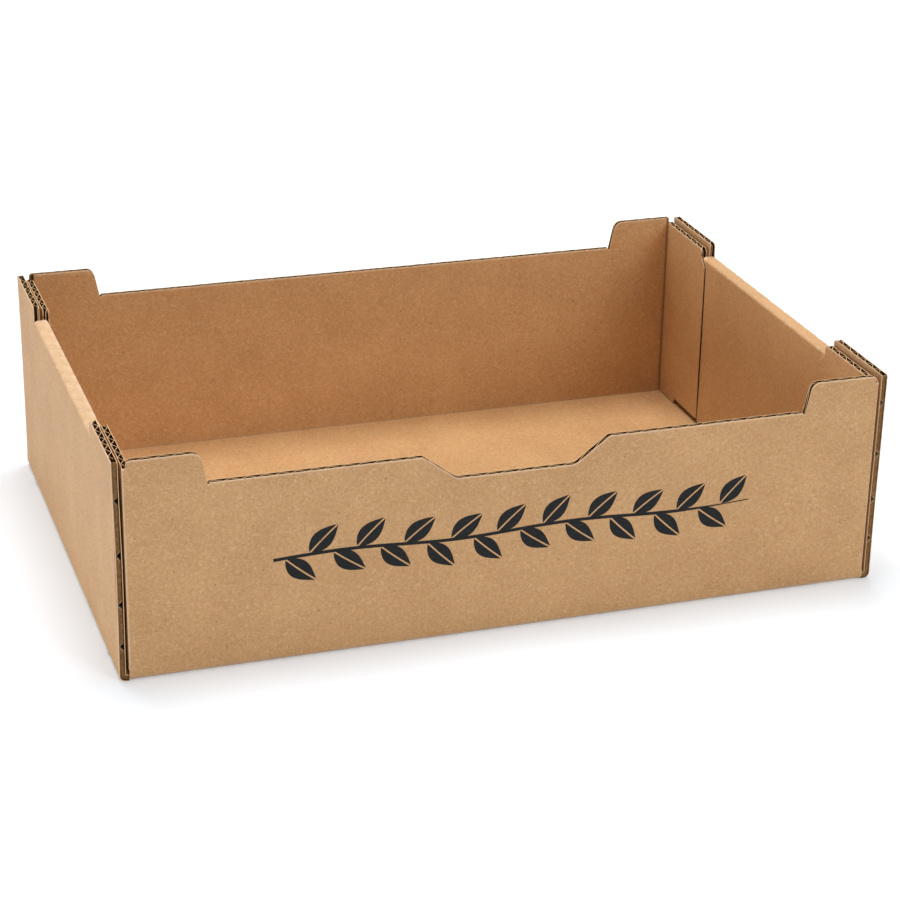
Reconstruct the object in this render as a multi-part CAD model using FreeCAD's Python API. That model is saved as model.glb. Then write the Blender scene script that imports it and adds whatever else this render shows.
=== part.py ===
"""Stackable tray of corrugated board, folded from one die-cut blank.

The long walls fold straight up from the floor. Each side wall is double: an outer panel folds up from the
floor, rolls over a flat top and comes down again inside, where its tab drops into a slot in the floor.
Flaps folded back from the ends of the long walls stand in the side walls, level with the inner panels, and
rise above the rolled top, beside the outer panels, as stacking ears. The flutes stand upright in every wall,
and their cells are open wherever the board is cut across them.

Millimetres, +Z up, +X to the right along the long walls. The origin is the middle of the underside.
"""

import math
import os

import FreeCAD
import Part

# The tray, over the outer faces
LENGTH = 295.0
WIDTH = 200.0
HEIGHT = 85.0

# The board and its folds
BOARD = 2.5
FLOOR_FOLD = 2.5
CORNER_FOLD = 1.5
ROLL_FOLD = 1.2
INNER_CREASE = 0.4
FIT = 0.4

# The flutes: cells between two liners, either side of a pleated medium, from the crease at the floor up
LINER = 0.4
MEDIUM = 0.3
FLUTE_PITCH = 6.0
FLUTE_FOOT = 6.0

# Long walls: ears at both ends, a lower edge between them, and a hand dip in the front one
WALL_TOP = 73.4
EAR_CREST = 27.5
EAR_FOOT = 30.0
EAR_ROUND = 3.6
EAR_NICK = 0.9
DIP_LEVEL = 63.7
DIP_FLOOR_WIDTH = 45.6
DIP_MOUTH_WIDTH = 71.4
DIP_FLOOR_ROUND = 4.0
DIP_MOUTH_ROUND = 1.5

# Side walls: the outer panel, the rolled top and the inner panel
SIDE_SETBACK = 2.8
SIDE_EAR_LENGTH = 37.7
SIDE_EAR_TOP = 84.0
SIDE_EAR_ROUND = 1.6
ROLL_TOP = 79.2
ROLL_GAP = 0.7
ROLL_SHOULDER = 1.4
ROLL_END_ROUND = 1.8
ROLL_END_CUT = 4.0
INNER_FOOT_ROUND = 3.0

# The lock: a tab under each inner panel, in a slot along the floor's side fold
TAB_WIDTH = 84.0
TAB_TAPER = 2.0
TAB_ROUND = 1.0
TAB_LIFT = 0.4
NICK_SETBACK = 21.7
NICK_LENGTH = 3.4
NICK_HEIGHT = 1.3

# Corner flaps, folded back from the ends of the long walls
FLAP_GAP = 1.1
FLAP_FOOT = 17.0
FLAP_FOOT_RISE = 2.0
FLAP_START = 4.2
RELIEF_WIDTH = 1.9
RELIEF_DEPTH = 2.7
RELIEF_ROUND = 1.2
SHOULDER_DROP = 3.4
SHOULDER_ROUND = 1.6
FLAP_EDGE_ROUND = 0.8

# Worked out from the above
HALF_LENGTH = LENGTH / 2
HALF_WIDTH = WIDTH / 2
WALL_END = HALF_LENGTH - BOARD - FLAP_GAP
SIDE_END = HALF_WIDTH - SIDE_SETBACK
SIDE_EAR_END = SIDE_END - SIDE_EAR_LENGTH
ROLL_WIDTH = 2 * BOARD + ROLL_GAP
INNER_END = SIDE_EAR_END - ROLL_END_CUT
FLAP_END = INNER_END + FIT
FLAP_EAR_END = SIDE_EAR_END + FIT
OVERLAP = 6.0
BEYOND = 1.0


def outline(corners, place):
    """Closed wire through corners (u, v, radius): a corner with a radius becomes a tangent arc."""
    rounds = []
    count = len(corners)
    for i, (u, v, radius) in enumerate(corners):
        here = FreeCAD.Vector(u, v, 0)
        before = FreeCAD.Vector(*corners[i - 1][:2], 0) - here
        after = FreeCAD.Vector(*corners[(i + 1) % count][:2], 0) - here
        if radius <= 0:
            rounds.append((here, None, here))
            continue
        half = before.getAngle(after) / 2
        # A round never takes more than half of the shorter side beside it
        reach = min(radius / math.tan(half), 0.499 * min(before.Length, after.Length))
        start = here + before.normalize() * reach
        end = here + after.normalize() * reach
        bisector = (before + after).normalize()
        to_centre = reach / math.cos(half)
        middle = here + bisector * (to_centre - reach * math.tan(half))
        rounds.append((start, middle, end))
    edges = []
    for i, (start, middle, end) in enumerate(rounds):
        if middle is not None:
            edges.append(Part.Arc(place(start), place(middle), place(end)).toShape())
        following = rounds[(i + 1) % count][0]
        if end.distanceToPoint(following) > 1e-6:
            edges.append(Part.LineSegment(place(end), place(following)).toShape())
    return Part.Wire(edges)


def prism(corners, axis, low, high):
    """Solid with that outline, seen along a row axis, from low to high on that axis."""
    places = {
        "X": (lambda p: FreeCAD.Vector(low, p.x, p.y), FreeCAD.Vector(high - low, 0, 0)),
        "Y": (lambda p: FreeCAD.Vector(p.x, low, p.y), FreeCAD.Vector(0, high - low, 0)),
        "Z": (lambda p: FreeCAD.Vector(p.x, p.y, low), FreeCAD.Vector(0, 0, high - low)),
    }
    place, travel = places[axis]
    return Part.Face(outline(corners, place)).extrude(travel)


def across_x(half):
    """Corners of the right half, followed by their mirror images, as one closed outline."""
    return half + [(-u, v, r) for u, v, r in reversed(half)]


def both_sides(shape):
    """The shape and its mirror image on the other side of the tray."""
    return [shape, shape.mirror(FreeCAD.Vector(), FreeCAD.Vector(1, 0, 0))]


def both_ends(shape):
    """The shape and its mirror image at the other end of the tray."""
    return [shape, shape.mirror(FreeCAD.Vector(), FreeCAD.Vector(0, 1, 0))]


def flutes(start, end, open_ends):
    """Cells of a board that stands on the X axis from start to end, with its faces at Y 0 and at Y BOARD.

    The pleats run to and fro between the liners, so the cells point to one face and the other by turns. With
    open ends, the board is cut through the middle of its first and last cells.
    """
    steps = max(1, round((end - start) / (FLUTE_PITCH / 2)))
    step = (end - start) / steps
    depth = BOARD - 2 * LINER - MEDIUM
    pleat = math.atan2(depth, step)
    half_mouth = step - MEDIUM / math.sin(pleat) / 2
    cells = []
    for i in range(steps + 1 if open_ends else steps):
        middle = start + (i if open_ends else i + 0.5) * step
        base, apex = (LINER, LINER + depth) if i % 2 else (BOARD - LINER, LINER + MEDIUM)
        cells.append(prism([
            (middle - half_mouth, base, 0),
            (middle + half_mouth, base, 0),
            (middle, apex, 0),
        ], "Z", FLUTE_FOOT, HEIGHT + BEYOND))
    return Part.makeCompound(cells)


def wall_edge(dip):
    """Outline of a long wall seen from the front, short of its corner folds, with or without the hand dip."""
    body_end = WALL_END - OVERLAP
    right = [
        (WALL_END, -BEYOND, 0),
        (WALL_END, FLAP_START, 0),
        (body_end, FLAP_START, 0),
        (body_end, HEIGHT, 0),
        (WALL_END - EAR_CREST, HEIGHT, EAR_ROUND),
        (WALL_END - EAR_FOOT, WALL_TOP - EAR_NICK, 0),
        (WALL_END - EAR_FOOT - EAR_NICK, WALL_TOP, 0),
    ]
    if dip:
        right += [
            (DIP_MOUTH_WIDTH / 2, WALL_TOP, DIP_MOUTH_ROUND),
            (DIP_FLOOR_WIDTH / 2, DIP_LEVEL, DIP_FLOOR_ROUND),
        ]
    return across_x(right)


def floor_and_long_walls():
    """The floor with the front and back walls: one section, trimmed to each wall's own edge."""
    inside = HALF_WIDTH - BOARD
    section = across_x([
        (inside, BOARD, INNER_CREASE),
        (inside, HEIGHT, 0),
        (HALF_WIDTH, HEIGHT, 0),
        (HALF_WIDTH, 0, FLOOR_FOLD),
    ])
    folded = prism(section, "X", -WALL_END, WALL_END)
    front = prism(wall_edge(dip=True), "Y", -HALF_WIDTH - BEYOND, 0)
    back = prism(wall_edge(dip=False), "Y", 0, HALF_WIDTH + BEYOND)
    cells = flutes(-WALL_END + OVERLAP, WALL_END - OVERLAP, open_ends=False)
    cells.translate(FreeCAD.Vector(0, -HALF_WIDTH, 0))
    return folded.common(front.fuse(back)).cut(Part.makeCompound(both_ends(cells)))


def outer_panel():
    """The right outer side panel, folded up from the floor, with its two ears."""
    floor_start = HALF_LENGTH - ROLL_WIDTH - OVERLAP
    section = [
        (floor_start, 0, 0),
        (HALF_LENGTH, 0, FLOOR_FOLD),
        (HALF_LENGTH, SIDE_EAR_TOP, 0),
        (HALF_LENGTH - BOARD, SIDE_EAR_TOP, 0),
        (HALF_LENGTH - BOARD, BOARD, INNER_CREASE),
        (floor_start, BOARD, 0),
    ]
    edge = across_x([
        (SIDE_END, -BEYOND, 0),
        (SIDE_END, SIDE_EAR_TOP, SIDE_EAR_ROUND / 2),
        (SIDE_EAR_END, SIDE_EAR_TOP, SIDE_EAR_ROUND),
        (SIDE_EAR_END, ROLL_TOP - ROLL_FOLD, 0),
    ])
    folded = prism(section, "Y", -SIDE_END, SIDE_END)
    panel = folded.common(prism(edge, "X", floor_start - BEYOND, HALF_LENGTH + BEYOND))
    cells = flutes(SIDE_EAR_END, SIDE_END, open_ends=True)
    cells.rotate(FreeCAD.Vector(), FreeCAD.Vector(0, 0, 1), 90)
    cells.translate(FreeCAD.Vector(HALF_LENGTH, 0, 0))
    return panel.cut(Part.makeCompound(both_ends(cells)))


def rolled_panel():
    """The rolled top of the right side wall and the inner panel that hangs from it, down to its tab."""
    inner_face = HALF_LENGTH - ROLL_WIDTH
    outer_start = ROLL_TOP - ROLL_FOLD - OVERLAP
    section = [
        (HALF_LENGTH, outer_start, 0),
        (HALF_LENGTH, ROLL_TOP, ROLL_FOLD),
        (inner_face, ROLL_TOP, ROLL_FOLD),
        (inner_face, TAB_LIFT, 0),
        (inner_face + BOARD, TAB_LIFT, 0),
        (inner_face + BOARD, ROLL_TOP - BOARD, 0),
        (HALF_LENGTH - BOARD, ROLL_TOP - BOARD, 0),
        (HALF_LENGTH - BOARD, outer_start, 0),
    ]
    edge = across_x([
        (SIDE_EAR_END, ROLL_TOP + BEYOND, 0),
        (SIDE_EAR_END, outer_start - BEYOND, 0),
        (INNER_END, outer_start - BEYOND, 0),
        (INNER_END, BOARD + FIT, INNER_FOOT_ROUND),
        (TAB_WIDTH / 2, BOARD + FIT, 0),
        (TAB_WIDTH / 2 - TAB_TAPER, TAB_LIFT, TAB_ROUND),
    ])
    rolled = prism(section, "Y", -SIDE_EAR_END, SIDE_EAR_END)
    rolled = rolled.common(prism(edge, "X", inner_face - BEYOND, HALF_LENGTH + BEYOND))
    # The ends of the rolled top are cut back to the inner panel, leaving a shoulder beside the outer panel
    shoulder = HALF_LENGTH - BOARD - ROLL_SHOULDER
    cut_back = prism([
        (inner_face - BEYOND, INNER_END, 0),
        (shoulder, INNER_END, ROLL_END_ROUND),
        (shoulder, SIDE_EAR_END + BEYOND, 0),
        (inner_face - BEYOND, SIDE_EAR_END + BEYOND, 0),
    ], "Z", -BEYOND, HEIGHT)
    return rolled.cut(Part.makeCompound(both_ends(cut_back)))


def corner_flap():
    """The right end of the front wall with its flap, folded back into the side wall."""
    body_end = WALL_END - OVERLAP
    section = [
        (body_end, -HALF_WIDTH, 0),
        (WALL_END, -HALF_WIDTH, CORNER_FOLD),
        (WALL_END, -FLAP_END, 0),
        (WALL_END - BOARD, -FLAP_END, 0),
        (WALL_END - BOARD, -HALF_WIDTH + BOARD, INNER_CREASE),
        (body_end, -HALF_WIDTH + BOARD, 0),
    ]
    relief = -HALF_WIDTH + RELIEF_WIDTH
    foot = BOARD + FIT
    edge = [
        (-HALF_WIDTH - BEYOND, FLAP_START, 0),
        (-HALF_WIDTH - BEYOND, HEIGHT, 0),
        (relief, HEIGHT, 0),
        (relief, SIDE_EAR_TOP, 0),
        (-FLAP_EAR_END, SIDE_EAR_TOP, SIDE_EAR_ROUND),
        (-FLAP_EAR_END, ROLL_TOP - SHOULDER_DROP, SHOULDER_ROUND),
        (-FLAP_END, ROLL_TOP - SHOULDER_DROP, FLAP_EDGE_ROUND),
        (-FLAP_END, foot + FLAP_FOOT_RISE, FLAP_EDGE_ROUND),
        (-HALF_WIDTH + BOARD + FLAP_FOOT, foot + FLAP_FOOT_RISE, 0),
        (-HALF_WIDTH + BOARD + FLAP_FOOT, foot, 0),
        (-HALF_WIDTH + BOARD + FIT, foot, 0),
        (-HALF_WIDTH + BOARD + FIT, FLAP_START, 0),
    ]
    folded = prism(section, "Z", 0, HEIGHT)
    trimmed = folded.common(prism(edge, "X", body_end - BEYOND, WALL_END + BEYOND))
    # A round-bottomed notch at the top of the fold, seen from the front and from the side
    notch_floor = HEIGHT - RELIEF_DEPTH
    from_front = prism([
        (WALL_END + BEYOND, notch_floor, 0),
        (WALL_END + BEYOND, HEIGHT + BEYOND, 0),
        (WALL_END - RELIEF_WIDTH - 2 * RELIEF_ROUND, HEIGHT + BEYOND, 0),
        (WALL_END - RELIEF_WIDTH - 2 * RELIEF_ROUND, HEIGHT, 0),
        (WALL_END - RELIEF_WIDTH, HEIGHT, RELIEF_ROUND),
        (WALL_END - RELIEF_WIDTH, notch_floor, RELIEF_WIDTH / 2),
    ], "Y", -HALF_WIDTH - BEYOND, relief)
    from_side = prism([
        (-HALF_WIDTH - BEYOND, notch_floor, 0),
        (-HALF_WIDTH - BEYOND, HEIGHT + BEYOND, 0),
        (relief, HEIGHT + BEYOND, 0),
        (relief, notch_floor, RELIEF_WIDTH / 2),
    ], "X", WALL_END - RELIEF_WIDTH, WALL_END + BEYOND)
    cells = flutes(-HALF_WIDTH + OVERLAP, -FLAP_END, open_ends=False)
    cells.rotate(FreeCAD.Vector(), FreeCAD.Vector(0, 0, 1), 90)
    cells.translate(FreeCAD.Vector(WALL_END, 0, 0))
    return trimmed.cut(from_front).cut(from_side).cut(cells)


def punched_out():
    """What is punched out along the right side fold: the slot for the tab, and a nick either side of it."""
    slot_half = TAB_WIDTH / 2 + FIT
    inner = HALF_LENGTH - ROLL_WIDTH - FIT
    outer = HALF_LENGTH - BOARD
    slot = Part.makeBox(
        outer - inner, 2 * slot_half, BOARD + 2 * BEYOND, FreeCAD.Vector(inner, -slot_half, -BEYOND)
    )
    nick = Part.makeBox(
        BOARD + FLOOR_FOLD + BEYOND,
        NICK_LENGTH,
        NICK_HEIGHT + BEYOND,
        FreeCAD.Vector(HALF_LENGTH - BOARD - FLOOR_FOLD, SIDE_END - NICK_SETBACK, -BEYOND),
    )
    return [slot] + both_ends(nick)


def tray():
    """The folded blank as one solid."""
    floor = floor_and_long_walls().fuse(both_sides(outer_panel()))
    cuts = []
    for cut in punched_out():
        cuts += both_sides(cut)
    floor = floor.cut(Part.makeCompound(cuts))
    flaps = []
    for flap in both_ends(corner_flap()):
        flaps += both_sides(flap)
    return floor.fuse(both_sides(rolled_panel()) + flaps).removeSplitter()


def main():
    os.makedirs("parts", exist_ok=True)
    shape = tray()
    solid = shape.Solids[0]
    print("tray: solids", len(shape.Solids), "valid", solid.isValid(), "volume", round(solid.Volume),
          "faces", len(solid.Faces), "box", solid.BoundBox)
    solid.exportStep("parts/tray.step")


main()
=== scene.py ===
"""Stackable tray of corrugated kraft board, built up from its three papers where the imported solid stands."""

import math

import bmesh
import bpy
import numpy as np
from mathutils import Matrix, Vector


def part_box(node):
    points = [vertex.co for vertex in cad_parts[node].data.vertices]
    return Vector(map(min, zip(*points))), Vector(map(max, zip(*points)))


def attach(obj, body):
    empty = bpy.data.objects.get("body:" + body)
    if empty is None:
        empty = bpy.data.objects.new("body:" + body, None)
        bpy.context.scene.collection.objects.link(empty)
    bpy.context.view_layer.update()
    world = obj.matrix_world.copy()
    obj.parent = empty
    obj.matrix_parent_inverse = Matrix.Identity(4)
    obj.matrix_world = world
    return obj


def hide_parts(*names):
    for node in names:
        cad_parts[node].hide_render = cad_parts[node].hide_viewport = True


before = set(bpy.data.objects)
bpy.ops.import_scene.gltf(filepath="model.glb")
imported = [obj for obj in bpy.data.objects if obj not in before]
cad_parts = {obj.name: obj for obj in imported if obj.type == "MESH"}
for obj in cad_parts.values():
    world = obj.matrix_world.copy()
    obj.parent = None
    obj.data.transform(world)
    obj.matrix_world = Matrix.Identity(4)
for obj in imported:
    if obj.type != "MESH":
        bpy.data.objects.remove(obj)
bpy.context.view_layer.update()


# Board and floor
# The tray is one blank of single-wall corrugated board: a kraft liner on each face and a fluted medium
# between them. Its floor is the middle of the blank, with a slot punched along either side for a locking tab.
# Sizes are in millimetres, and a paper's depth is how far it lies under the board's outer face.
MM = 0.001
high_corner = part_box("tray")[1]
HALF_LENGTH = high_corner.x / MM
HALF_WIDTH = high_corner.y / MM
HEIGHT = high_corner.z / MM
BOARD = 2.5
FLUTE_PITCH = 6.0
FLOOR_FOLD = 2.5
INNER_CREASE = 0.4
SLOT_HALF = 42.4
SLOT_EDGE = 141.4
NICK = (75.5, 78.9)
NICK_INSET = 1.0
NICK_HEIGHT = 1.9
NICK_DEPTH = 0.6 * BOARD
DENT = 0.3
QUARTER = np.linspace(0, math.pi / 2, 7)

# Each panel's pattern coordinates start far from the other panels', so that no two look the same
WALL_PATTERN = 500
SIDE_PATTERN = 2400
PANEL_PATTERN = 4200
SIDES_APART = 600

# A distance at which an edge or a fold has no effect, and how far from a cut the paper is drawn pale: rubbed
# fibres with a painted highlight
FAR = 40.0
RUB = 0.4


def patch(place, looks, mark, wear_and_painted_light, keep=None):
    """Part of a paper: points in rows and columns, two pattern coordinates in millimetres, and wear.

    looks is the way that the middle of its first row faces, and turns the faces. Wear is 1 where paper is cut
    or rubbed, partly as a painted highlight, and below 0 where a crease is painted dark, as shade. Where keep
    is false, a face is left out.
    """
    rows, columns = place.shape[:2]
    index = np.arange(rows * columns).reshape(rows, columns)
    quads = np.stack((index[:-1, :-1], index[:-1, 1:], index[1:, 1:], index[1:, :-1]), -1)
    middle = (columns - 1) // 2
    across = np.cross(place[0, middle + 1] - place[0, middle], place[1, middle] - place[0, middle])
    if across @ np.array(looks, float) < 0:
        quads = quads[..., ::-1]
    quads = quads.reshape(-1, 4) if keep is None else quads[keep]
    mark = np.stack(np.broadcast_arrays(mark[0], mark[1], place[..., 0])[:2], -1)
    wear_and_painted_light = np.broadcast_to(wear_and_painted_light, (rows, columns))
    return place.reshape(-1, 3), quads, mark.reshape(-1, 2), wear_and_painted_light.reshape(-1)


def grid(x, y, z):
    """Points from three arrays that together span the rows and columns."""
    return np.stack(np.broadcast_arrays(x, y, z), -1)


def uneven(u, v, size, seed):
    """Smooth unevenness from -1 to 1: the mean of three crossing sine waves, each bent by the one before."""
    a = np.sin((0.87 * u + 0.49 * v) / size + 1.7 * seed)
    b = np.sin((1.13 * v - 0.53 * u) / size * 1.31 + 4.1 * seed + a)
    c = np.sin((1.71 * u - 0.77 * v) / size * 1.93 + 2.3 * seed + b)
    return (a + b + c) / 3


def dented(calm, u, v, size, seed):
    """How far a panel sinks between its folds: up to DENT where calm is 1, and not at all where it is 0."""
    return DENT * calm * (0.5 + 0.5 * uneven(u, v, size, seed))


def floor(depth, columns, rows):
    """The floor: a flat grid on the walls' columns and rows, less what is punched out."""
    crease = max(FLOOR_FOLD - depth, INNER_CREASE)
    fold_x = HALF_LENGTH - depth - crease
    fold_y = HALF_WIDTH - depth - crease
    wall_end = columns[-1]
    x = np.concatenate(((-fold_x,), columns, (fold_x,)))
    y = np.unique(np.round(np.concatenate((rows, (-fold_y, fold_y))), 4))
    middle_x = np.abs(x[1:] + x[:-1])[None, :] / 2
    middle_y = np.abs(y[1:] + y[:-1])[:, None] / 2
    slot = (middle_x > SLOT_EDGE) & (middle_y < SLOT_HALF)
    nick = (middle_x > SLOT_EDGE + NICK_INSET) & (middle_y > NICK[0]) & (middle_y < NICK[1])
    nick = nick & (depth < BOARD / 2)
    under_wall = (middle_x < wall_end) & (middle_y > fold_y)
    facing = -1 if depth < BOARD / 2 else 1
    place = grid(x[None, :], y[:, None], depth)
    return patch(place, (0, 0, facing), (x[None, :], y[:, None]), 0.0, ~(slot | nick | under_wall))


# Long walls and corner flaps
# The front and back walls fold straight up from the floor, and the front one dips in the middle for a hand.
# Flaps at their ends fold back along the side walls. Both rise to stacking ears either side of each corner,
# with a small relief notch punched at the top of the corner fold.
CORNER_FOLD = 0.9
WALL_END = 143.9
WALL_TOP = 73.4
EAR_CREST = 27.5
EAR_FOOT = 30.0
EAR_ROUND = 3.6
EAR_NICK = 0.9
DIP_LEVEL = 63.7
DIP_FLOOR = 22.8
DIP_MOUTH = 35.7
DIP_FLOOR_ROUND = 4.0
DIP_MOUTH_ROUND = 1.5
FLAP_END = 55.9
FLAP_EAR_END = 59.9
FLAP_EAR_TOP = 82.9
FLAP_EAR_ROUND = 1.6
FLAP_SHOULDER = 75.8
FLAP_SLANT_START = 56.5
FLAP_SLANT_TOP = 79.4
FLAP_FOOT = 2.9
FLAP_FOOT_RISE = 2.0
FLAP_FOOT_STEP = 80.5
FLAP_EDGE_ROUND = 0.8
FLAP_START = 4.2
RELIEF_WIDTH = 1.4
RELIEF_FLOOR = 82.3
RELIEF_ROUND = 1.2
STEEP = 0.03
BY_FOLD = np.array((0.5, 1.1, 2.0))
ROWS_BY_EDGE = (0.0, 0.25, 0.6, 1.2, 2.2, 4.0)
WALL_DENT = 26
CALM_RISE = 15.0
CALM_RUN = 12.0
# How pale the outer liner is rubbed at folds, and how dark the inner liner is painted there, as shade in its
# creases
FOLD_RUB_AND_SHADE = 0.6
FLOOR_RUB_AND_SHADE = 0.5
CREASE_PAINTED_SHADE = -1.0
CORNER_RUB_AND_SHADE = 0.6


def rounded(corners):
    """Line through corners (u, v, radius), with a tangent arc in five steps at each that has a radius.

    A point of an arc is the two radii at its ends, blended by the sines of its angles to them.
    """
    line = [np.array(corners[0][:2], float)]
    for (u0, v0, _), (u, v, radius), (u1, v1, _) in zip(corners, corners[1:], corners[2:]):
        here = np.array((u, v), float)
        if radius == 0:
            line.append(here)
            continue
        before = (np.array((u0, v0)) - here) / math.hypot(u0 - u, v0 - v)
        after = (np.array((u1, v1)) - here) / math.hypot(u1 - u, v1 - v)
        half = math.acos(before @ after) / 2
        turn = math.pi - 2 * half
        centre = here + (before + after) / np.linalg.norm(before + after) * radius / math.sin(half)
        start = here + before * radius / math.tan(half) - centre
        end = here + after * radius / math.tan(half) - centre
        share = np.linspace(0, 1, 6)[:, None]
        line.extend(centre + (np.sin((1 - share) * turn) * start + np.sin(share * turn) * end) / math.sin(turn))
    line.append(np.array(corners[-1][:2], float))
    line = np.array(line)
    apart = np.append(True, np.hypot(*np.diff(line, axis=0).T) > 1e-6)
    return line[apart]


def spaced(marks, step):
    """Places from the first mark to the last: each mark, with steps of about that length in between."""
    marks = np.unique(np.round(marks, 4))
    parts = [np.linspace(a, b, max(2, round((b - a) / step) + 1))[:-1] for a, b in zip(marks, marks[1:])]
    return np.concatenate(parts + [marks[-1:]])


def rows_between(low, high, step):
    """Heights from a cut edge down to a lower line: close together by the edge, about a step apart below."""
    reach = ROWS_BY_EDGE[-1]
    near = high - np.outer(ROWS_BY_EDGE, np.minimum(1, (high - low) / (2 * reach)))
    share = np.linspace(0, 1, max(2, round(np.max(high - low) / step) + 1))[1:]
    return np.vstack((near, near[-1] + np.outer(share, low - near[-1])))


def wall_top(dip):
    """Top edge of a long wall from its middle to the corner fold."""
    line = [(0, DIP_LEVEL if dip else WALL_TOP, 0)]
    if dip:
        line += [(DIP_FLOOR, DIP_LEVEL, DIP_FLOOR_ROUND), (DIP_MOUTH, WALL_TOP, DIP_MOUTH_ROUND)]
    return rounded(line + [
        (WALL_END - EAR_FOOT - EAR_NICK, WALL_TOP, 0),
        (WALL_END - EAR_FOOT, WALL_TOP - EAR_NICK, 0),
        (WALL_END - EAR_CREST, HEIGHT, EAR_ROUND),
        (WALL_END - RELIEF_WIDTH, HEIGHT, RELIEF_ROUND),
        (WALL_END - RELIEF_WIDTH + STEEP, RELIEF_FLOOR, RELIEF_WIDTH / 3),
        (WALL_END, RELIEF_FLOOR, 0),
    ])


def flap_top():
    """Top edge of a corner flap from its free edge to the corner fold."""
    return rounded([
        (FLAP_END, FLAP_SHOULDER - FLAP_EDGE_ROUND, 0),
        (FLAP_END + STEEP, FLAP_SHOULDER, FLAP_EDGE_ROUND * 0.6),
        (FLAP_SLANT_START, FLAP_SHOULDER, 0),
        (FLAP_EAR_END, FLAP_SLANT_TOP, 0.5),
        (FLAP_EAR_END + STEEP, FLAP_EAR_TOP, FLAP_EAR_ROUND),
        (HALF_WIDTH - RELIEF_WIDTH, FLAP_EAR_TOP, 0.4),
        (HALF_WIDTH - RELIEF_WIDTH + STEEP, RELIEF_FLOOR, RELIEF_WIDTH / 3),
        (HALF_WIDTH, RELIEF_FLOOR, 0),
    ])


def flap_foot():
    """Bottom edge of a corner flap from its free edge to the corner fold."""
    inside = HALF_WIDTH - BOARD - INNER_CREASE
    return rounded([
        (FLAP_END, FLAP_FOOT + FLAP_FOOT_RISE + FLAP_EDGE_ROUND, 0),
        (FLAP_END + STEEP, FLAP_FOOT + FLAP_FOOT_RISE, FLAP_EDGE_ROUND * 0.9),
        (FLAP_FOOT_STEP, FLAP_FOOT + FLAP_FOOT_RISE, 0),
        (FLAP_FOOT_STEP + STEEP, FLAP_FOOT, 0),
        (inside - STEEP, FLAP_FOOT, 0),
        (inside, FLAP_START, 0),
        (HALF_WIDTH, FLAP_START, 0),
    ])


def wall_columns(depth, step):
    """Places along a long wall, out to the start of both its corner folds."""
    fold = WALL_END - depth - max(CORNER_FOLD - depth, INNER_CREASE)
    marks = np.concatenate((wall_top(True)[:, 0], wall_top(False)[:, 0], (SLOT_EDGE,), fold - BY_FOLD))
    half = spaced(np.append(marks[marks < fold - STEEP / 2], fold), step)
    return np.concatenate((-half[:0:-1], half))


def long_wall(depth, side, step, row_step, press, trim):
    """A long wall and its two flaps: a path in plan, carried up from the lower edge to the cut top edge.

    The path comes along one flap, round a quarter circle at the fold, along the wall, and round to the other
    flap. Each point is then moved into the board by the wall's own unevenness and by press, a function of the
    place along the flutes and the distances to a cut edge and to a fold. The top edge stops short of the
    die's line by trim, a function of the place along the flutes.
    """
    facing = 1 if depth < BOARD / 2 else -1
    end = WALL_END - depth
    plane = HALF_WIDTH - depth
    crease = max(CORNER_FOLD - depth, INNER_CREASE)
    wall = wall_columns(depth, step)
    marks = np.concatenate((flap_top()[:, 0], flap_foot()[:, 0], plane - crease - BY_FOLD))
    flap = spaced(np.append(marks[marks < plane - crease - STEEP / 2], plane - crease), step)
    turn = QUARTER[1:-1]
    arc_x = end - crease + crease * np.cos(turn)
    arc_y = plane - crease + crease * np.sin(turn)
    x = np.concatenate((0 * flap + end, arc_x, wall[::-1], -arc_x[::-1], 0 * flap - end))
    y = np.concatenate((flap, arc_y, 0 * wall + plane, arc_y[::-1], flap[::-1]))
    top = np.interp(flap, *flap_top().T)
    foot = np.interp(flap, *flap_foot().T)
    wall_high = np.interp(np.abs(wall), *wall_top(side < 0).T)
    relief = 0 * turn + RELIEF_FLOOR
    base = np.full(len(wall) + 2 * len(turn), FLAP_START)
    high = np.concatenate((top, relief, wall_high, relief, top[::-1]))
    low = np.concatenate((foot, base, foot[::-1]))
    run = np.append(0, np.cumsum(np.hypot(np.diff(x), np.diff(y))))
    run -= run[-1] / 2
    pattern = run + WALL_PATTERN * side
    high = high - trim(pattern)
    z = rows_between(low, high, row_step)
    along = np.stack((np.gradient(x, run), np.gradient(y, run)))
    inward = np.stack((-along[1], along[0])) / np.hypot(*along)
    from_corner = np.abs(np.abs(run) - end)
    calm = np.clip((z - FLAP_START) / CALM_RISE, 0, 1) * np.clip(from_corner / CALM_RUN, 0, 1)
    push = press(pattern, high - z, from_corner) + dented(calm, run, z, WALL_DENT, side)
    place = grid(x + inward[0] * push, side * (y + inward[1] * push), z)
    # Pale by the cut top edge, rubbed fibres with a painted highlight. At the corner folds the outer liner is
    # rubbed pale, and the inner liner is painted dark, as shade in the crease.
    fold = np.exp(-((from_corner / CORNER_RUB_AND_SHADE) ** 2))
    wear_and_painted_light = np.exp(-(high - z) / RUB) + (FOLD_RUB_AND_SHADE if facing > 0 else CREASE_PAINTED_SHADE) * fold
    return patch(place, (0, side * facing, 0), (pattern, z), wear_and_painted_light)


def long_fold(depth, side, columns):
    """The fold between the floor and a long wall: a quarter circle in section, carried along the wall."""
    facing = -1 if depth < BOARD / 2 else 1
    crease = max(FLOOR_FOLD - depth, INNER_CREASE)
    y = np.append(HALF_WIDTH - depth - crease + crease * np.sin(QUARTER), HALF_WIDTH - depth)
    z = np.append(depth + crease - crease * np.cos(QUARTER), FLAP_START)
    place = grid(columns[None, :], side * y[:, None], z[:, None])
    # The outer liner is rubbed pale round the fold, and the inner liner is painted dark there, as shade in the
    # crease between floor and wall.
    wear_and_painted_light = -facing * np.append(FLOOR_RUB_AND_SHADE * np.sin(2 * QUARTER), 0.0)[:, None]
    return patch(place, (0, 0, facing), (WALL_PATTERN * side - columns[None, :], (y + z)[:, None]), wear_and_painted_light)


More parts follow.
